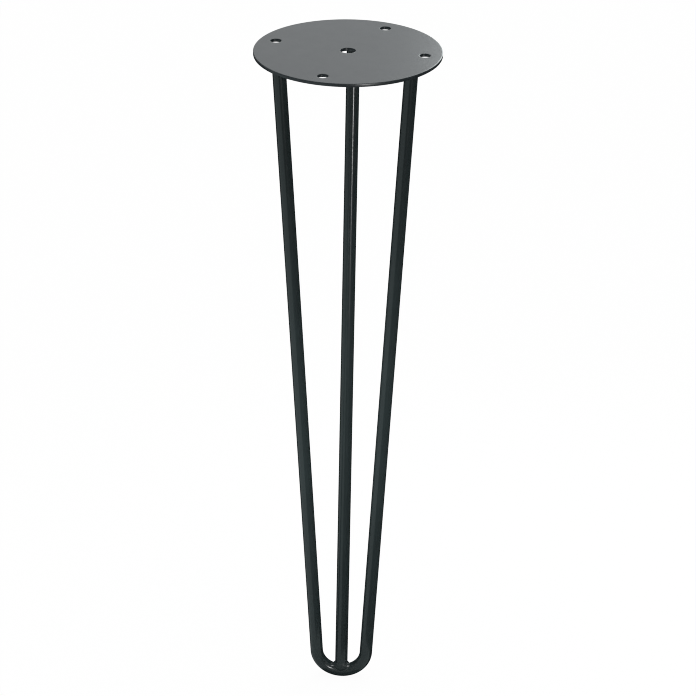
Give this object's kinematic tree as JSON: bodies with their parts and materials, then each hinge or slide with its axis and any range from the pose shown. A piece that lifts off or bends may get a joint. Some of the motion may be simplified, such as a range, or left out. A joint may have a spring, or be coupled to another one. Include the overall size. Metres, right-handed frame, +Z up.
{
  "type": "hairpin table leg",
  "caption": "Hairpin table leg: steel rods lean in from a round screw-on plate to a rounded foot, where a straight rod is welded into a hairpin's bend. Satin black powder coat.",
  "frame": {"origin": "centre of the mounting plate's top face, on the axis of its centre hole", "axes": "+Z up, out of the plate's top face towards the table; -X from the plate's centre to the hairpin's first arm"},
  "size_m": [0.11, 0.11, 0.4299],
  "materials": {
    "plate_coat": "satin black powder coat on flat steel sheet",
    "rod_coat": "satin black powder coat on round steel bar",
    "weld_coat": "satin black powder coat over weld beads"
  },
  "bodies": {
    "root": {"mounting_plate": "plate_coat", "hairpin_rod": "rod_coat", "third_rod": "rod_coat", "first_arm_weld": "weld_coat", "second_arm_weld": "weld_coat", "third_rod_weld": "weld_coat", "foot_weld": "weld_coat"}
  },
  "joints": []
}
